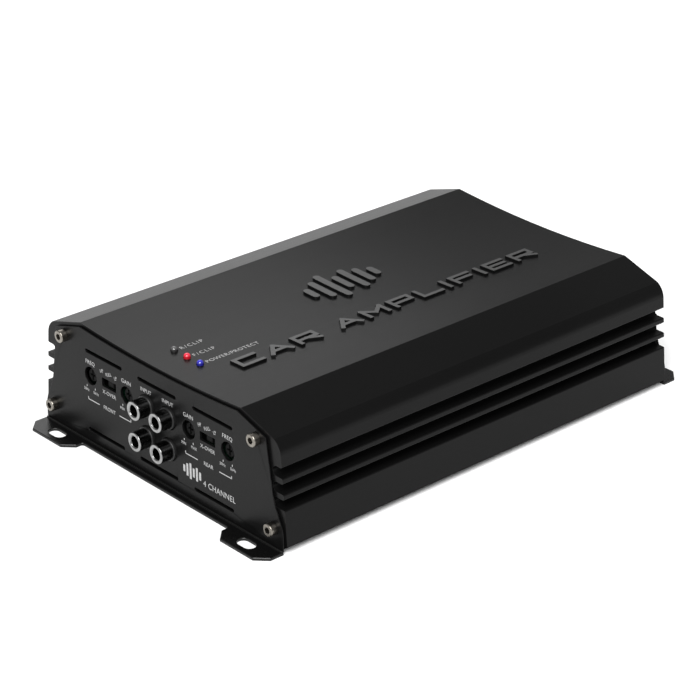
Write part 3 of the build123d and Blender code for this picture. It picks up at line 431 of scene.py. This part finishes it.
NODE_MATERIALS = (
    (extrusion_black(), ["heat_sink_extrusion"]),
    (
        satin_black("black_coated_plate", 0.0025, 0.004, gloss=0.30, edge_highlight_grey=0.016, specular=0.15),
        ["front_end_plate", "rear_end_plate"],
    ),
    (
        satin_black("black_coated_base", 0.002, 0.003, gloss=0.28, edge_highlight_grey=0.02, specular=0.38),
        ["base_plate"],
    ),
    (
        metal("nickel_plate", (0.20, 0.185, 0.16), (0.29, 0.27, 0.24), gloss=0.28, recess_shade_colour=0.008),
        ["front_plate_screws", "rear_plate_screws"],
    ),
    (metal("black_oxide", 0.03, 0.05, gloss=0.4), ["base_plate_screws"]),
    (
        metal("zinc_plate", (0.45, 0.46, 0.47), (0.60, 0.61, 0.62), gloss=0.35),
        ["board_standoffs", "board_screws", "transistor_clamp_bars", "clamp_bar_screws"],
    ),
    (circuit_board(), ["main_circuit_board", "input_circuit_board", "lamp_board"]),
    (
        moulded_plastic("black_moulding", 0.004, 0.008),
        [
            "board_header", "rca_jack_housing", "rca_jack_insulators", "control_pot_bodies",
            "crossover_switch_bodies", "lamp_spacer", "amplifier_chips", "transistor_cases", "fuse_socket",
            "power_terminal_block", "speaker_terminal_block",
        ],
    ),
    (
        moulded_plastic("black_knob_moulding", 0.002, 0.003, gloss=0.6, specular=0.12),
        [
            "front_frequency_rotor", "front_gain_rotor", "rear_gain_rotor", "rear_frequency_rotor",
            "front_crossover_slider", "rear_crossover_slider",
        ],
    ),
    (jack_metal(), ["rca_jack_shells", "rca_jack_centre_contacts"]),
    (
        metal("tinned_copper", (0.55, 0.54, 0.50), (0.70, 0.68, 0.63), gloss=0.28),
        [
            "transistor_tabs", "transistor_leads", "fuse_contacts", "left_fuse_blades", "right_fuse_blades",
            "power_terminal_clamps", "power_terminal_screws", "speaker_terminal_clamps",
            "speaker_terminal_screws",
        ],
    ),
    (
        moulded_plastic("green_coated_ferrite", (0.02, 0.08, 0.05), (0.03, 0.12, 0.07), gloss=0.35),
        ["transformer_core", "filter_choke_core"],
    ),
    (
        metal("enamelled_copper", (0.50, 0.17, 0.06), (0.68, 0.26, 0.09), gloss=0.3),
        ["transformer_windings", "filter_choke_winding"],
    ),
    (
        moulded_plastic("capacitor_sleeve", (0.01, 0.012, 0.03), (0.015, 0.018, 0.05), gloss=0.25),
        ["supply_capacitors", "rail_capacitors", "small_capacitors"],
    ),
    (
        moulded_plastic("grey_insulator", (0.35, 0.35, 0.37), (0.45, 0.45, 0.47), gloss=0.6),
        ["insulating_pads"],
    ),
    (
        moulded_plastic("amber_fuse_plastic", (0.55, 0.13, 0.01), (0.75, 0.22, 0.02), gloss=0.3),
        ["left_fuse_housing", "right_fuse_housing"],
    ),
    (badge(), ["raised_lettering", "raised_emblem"]),
    (lamp("clear_lamp", core=0.10, rim=0.02, glow=0.0), ["rear_clip_lamp"]),
    (lamp("red_lamp", core=(0.70, 0.03, 0.06), rim=(0.30, 0.005, 0.012), glow=0.35), ["front_clip_lamp"]),
    (lamp("blue_lamp", core=(0.03, 0.03, 0.42), rim=(0.012, 0.012, 0.18), glow=0.10), ["power_lamp"]),
)
for material, names in NODE_MATERIALS:
    for name in names:
        mesh = nodes[name].data
        mesh.materials.clear()
        mesh.materials.append(material)

# ---- edges -------------------------------------------------------------------

WELD_GAP = 0.000002
SHARP_ANGLE = radians(35)
END_PLATE_EDGE = 0.00018
BASE_PLATE_EDGE = 0.00012


def soften(name, width):
    """Rounds the sharp edges of a CAD node with modifiers; its mesh stays as it is."""
    weld = nodes[name].modifiers.new("weld", "WELD")
    weld.merge_threshold = WELD_GAP
    bevel = nodes[name].modifiers.new("soft_edges", "BEVEL")
    bevel.width = width
    bevel.segments = 2
    bevel.limit_method = "ANGLE"
    bevel.angle_limit = SHARP_ANGLE
    bevel.harden_normals = True


soften("front_end_plate", END_PLATE_EDGE)
soften("rear_end_plate", END_PLATE_EDGE)
soften("base_plate", BASE_PLATE_EDGE)

# ---- printed legends ---------------------------------------------------------

PRINT_LIFT = 0.00003  # from the surface to the middle of the ink
INK_HALF_DEPTH = 0.00002
CAPITAL_SHARE = 0.7  # height of a capital letter in a font of size 1
ink_material = printed_ink("white_ink", 0.30, 0.40)


def text_mesh(words, height, squeeze=1.0, spacing=1.05, align="CENTER"):
    """A flat text mesh in its own XY plane, with capital letters this tall."""
    curve = bpy.data.curves.new("text", "FONT")
    curve.body = words
    curve.align_x = align
    curve.align_y = "CENTER"
    curve.size = height / CAPITAL_SHARE
    curve.space_character = spacing
    curve.extrude = INK_HALF_DEPTH
    curve.resolution_u = 3
    maker = bpy.data.objects.new("text", curve)
    scene.collection.objects.link(maker)
    bpy.context.view_layer.update()
    mesh = bpy.data.meshes.new_from_object(maker.evaluated_get(bpy.context.evaluated_depsgraph_get()))
    bpy.data.objects.remove(maker)
    mesh.transform(Matrix.Diagonal((squeeze, 1.0, 1.0, 1.0)))
    return mesh


def bar_mesh(width, height):
    """A flat printed bar in its own XY plane, centred."""
    mesh = bpy.data.meshes.new("bar")
    built = bmesh.new()
    bmesh.ops.create_cube(built, size=1.0)
    bmesh.ops.scale(built, vec=(width, height, 2 * INK_HALF_DEPTH), verts=built.verts)
    built.to_mesh(mesh)
    built.free()
    return mesh


class Print:
    """Collects printed marks on one surface into one piece."""

    def __init__(self, name, place):
        self.name = name
        self.place = place
        self.built = bmesh.new()

    def add(self, mesh, *spot):
        mesh.transform(self.place(*spot))
        self.built.from_mesh(mesh)
        bpy.data.meshes.remove(mesh)

    def text(self, words, height, *spot, **style):
        self.add(text_mesh(words, height, **style), *spot)

    def bar(self, width, height, *spot):
        self.add(bar_mesh(width, height), *spot)

    def finish(self):
        mesh = bpy.data.meshes.new(self.name)
        self.built.to_mesh(mesh)
        self.built.free()
        mesh.materials.append(ink_material)
        piece = bpy.data.objects.new(self.name, mesh)
        scene.collection.objects.link(piece)
        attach(piece, CASE)


front_face_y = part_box("front_end_plate")[0].y
rear_face_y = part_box("rear_end_plate")[1].y


def on_front(x, z, turn=0.0):
    upright = Matrix.Rotation(pi / 2, 4, "X") @ Matrix.Rotation(turn, 4, "Z")
    return Matrix.Translation((x, front_face_y - PRINT_LIFT, z)) @ upright


def on_rear(x, z):
    turn = Matrix.Rotation(pi, 4, "Z") @ Matrix.Rotation(pi / 2, 4, "X")
    return Matrix.Translation((x, rear_face_y + PRINT_LIFT, z)) @ turn


# the dished top: its middle line, its ridges and how far they stand above the middle
TOP_MIDDLE_Z = 0.0515
TOP_RIDGE_X = 0.0515
DISH_DEPTH = 0.0022


def on_top(x, y):
    """Reads towards +Y with letter tops towards -X, lying on the dished top."""
    z = TOP_MIDDLE_Z + DISH_DEPTH * (x / TOP_RIDGE_X) ** 2
    tilt = -2 * DISH_DEPTH * x / TOP_RIDGE_X**2
    lean = Matrix.Rotation(tilt, 4, "Y")
    return Matrix.Translation((x, y, z + PRINT_LIFT)) @ lean @ Matrix.Rotation(pi / 2, 4, "Z")


def node_middle(name):
    low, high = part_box(name)
    return (low + high) / 2


# heights of capitals, and places of marks from the middle of the controls
CONTROL_TEXT = 0.0018
CONTROL_TEXT_UP = 0.0060
SWITCH_TEXT = 0.0016
SWITCH_TEXT_UP = 0.0050
SWITCH_TEXT_PITCH = 0.0047
SWITCH_TEXT_TURN = radians(22)
SMALL_TEXT = 0.0017
SWITCH_NAME_DOWN = 0.0040
RANGE_TEXT = 0.0013
RANGE_TEXT_DOWN = 0.0070
RANGE_TEXT_OUT = 0.0032
RANGE_TICK_DOWN = 0.0052
RANGE_TICK_OUT = 0.0028
RANGE_TICK_HEIGHT = 0.0009
LINE = 0.0004
BRACKET_DOWN = 0.0112
BRACKET_PAST = 0.0022
BRACKET_ARM = 0.0076
BRACKET_HOOK = 0.0013
BRACKET_HOOK_UP = 0.0005


def print_control_group(legend, channel):
    """Labels round one frequency control, crossover switch and gain control."""
    frequency = node_middle(f"{channel}_frequency_rotor")
    gain = node_middle(f"{channel}_gain_rotor")
    switch = node_middle(f"{channel}_crossover_slider")
    row = frequency.z
    legend.text("FREQ", CONTROL_TEXT, frequency.x, row + CONTROL_TEXT_UP)
    legend.text("GAIN", CONTROL_TEXT, gain.x, row + CONTROL_TEXT_UP)
    for step, word in ((-1, "HP"), (0, "FULL"), (1, "LP")):
        x = switch.x + step * SWITCH_TEXT_PITCH
        legend.text(word, SWITCH_TEXT, x, row + SWITCH_TEXT_UP, SWITCH_TEXT_TURN, squeeze=0.8)
    legend.text("X-OVER", SMALL_TEXT, switch.x, row - SWITCH_NAME_DOWN)
    for middle, words in ((frequency.x, ("50Hz", "5kHz")), (gain.x, ("MIN", "MAX"))):
        for side, word in zip((-1, 1), words):
            legend.bar(LINE, RANGE_TICK_HEIGHT, middle + side * RANGE_TICK_OUT, row - RANGE_TICK_DOWN)
            x = middle + side * RANGE_TEXT_OUT
            legend.text(word, RANGE_TEXT, x, row - RANGE_TEXT_DOWN, squeeze=0.85)
    print_bracket(legend, channel.upper(), sorted((frequency.x, gain.x)), row - BRACKET_DOWN)


def print_bracket(legend, word, ends, z):
    """A word between two lines that are hooked up at their outer ends."""
    for end, outward in zip(ends, (-1, 1)):
        corner = end + outward * BRACKET_PAST
        legend.bar(BRACKET_ARM, LINE, corner - outward * BRACKET_ARM / 2, z)
        legend.bar(LINE, BRACKET_HOOK, corner, z + BRACKET_HOOK_UP)
    legend.text(word, SMALL_TEXT, sum(ends) / 2, z)


JACK_PITCH = 0.014
INPUT_TEXT_UP = 0.0026
EMBLEM_BARS = (0.0030, 0.0055, 0.0070, 0.0040, 0.0060, 0.0035)
EMBLEM_BAR_WIDTH = 0.0012
EMBLEM_BAR_PITCH = 0.0020
EMBLEM_X = 0.0166
EMBLEM_Z = 0.0140
CHANNEL_TEXT = 0.0026
CHANNEL_X = 0.0385
CHANNEL_Z = 0.0118


def print_front():
    legend = Print("front_panel_print", on_front)
    print_control_group(legend, "front")
    print_control_group(legend, "rear")
    jack_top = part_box("rca_jack_shells")[1].z
    for x in (-JACK_PITCH / 2, JACK_PITCH / 2):
        legend.text("INPUT", SMALL_TEXT, x, jack_top + INPUT_TEXT_UP)
    for place, tall in enumerate(EMBLEM_BARS):
        legend.bar(EMBLEM_BAR_WIDTH, tall, EMBLEM_X + place * EMBLEM_BAR_PITCH, EMBLEM_Z)
    legend.text("4 CHANNEL", CHANNEL_TEXT, CHANNEL_X, CHANNEL_Z, squeeze=0.95)
    legend.finish()


LAMP_TEXT = 0.0022
LAMP_TEXT_AFTER = 0.0030


def print_top():
    legend = Print("lamp_labels_print", on_top)
    labels = (
        ("rear_clip_lamp", "R/CLIP", 1.35),
        ("front_clip_lamp", "F/CLIP", 1.35),
        ("power_lamp", "POWER/PROTECT", 1.10),
    )
    for lamp_node, words, spacing in labels:
        middle = node_middle(lamp_node)
        legend.text(words, LAMP_TEXT, middle.x, middle.y + LAMP_TEXT_AFTER, spacing=spacing, align="LEFT")
    legend.finish()


# heights of capitals, and places of words above the top of each block
POLE_TEXT = 0.0020
CHANNEL_NUMBER_TEXT = 0.0018
GROUP_TEXT = 0.0022
POWER_PITCH = 0.011
POWER_POLE_UP = 0.0030
POWER_GROUP_UP = 0.0068
FUSE_TEXT_UP = 0.0028
SPEAKER_PITCH = 0.0065
SPEAKER_POLE_UP = 0.0026
SPEAKER_NUMBER_UP = 0.0060
SPEAKER_GROUP_UP = 0.0098


def print_rear():
    legend = Print("rear_panel_print", on_rear)
    power = node_middle("power_terminal_block")
    power_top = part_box("power_terminal_block")[1].z
    for step, word in ((-1, "GND"), (0, "REM"), (1, "+12V")):
        legend.text(word, POLE_TEXT, power.x + step * POWER_PITCH, power_top + POWER_POLE_UP)
    legend.text("POWER", GROUP_TEXT, power.x, power_top + POWER_GROUP_UP)
    fuse = node_middle("fuse_socket")
    legend.text("FUSE", POLE_TEXT, fuse.x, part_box("fuse_socket")[1].z + FUSE_TEXT_UP)
    speaker = node_middle("speaker_terminal_block")
    speaker_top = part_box("speaker_terminal_block")[1].z
    for pole in range(8):
        x = speaker.x + (pole - 3.5) * SPEAKER_PITCH
        legend.text("+-"[pole % 2], POLE_TEXT, x, speaker_top + SPEAKER_POLE_UP)
    for channel in range(4):
        x = speaker.x + (channel - 1.5) * 2 * SPEAKER_PITCH
        legend.text(f"CH{channel + 1}", CHANNEL_NUMBER_TEXT, x, speaker_top + SPEAKER_NUMBER_UP)
    legend.text("SPEAKER OUTPUT", GROUP_TEXT, speaker.x, speaker_top + SPEAKER_GROUP_UP)
    legend.finish()


print_front()
print_top()
print_rear()
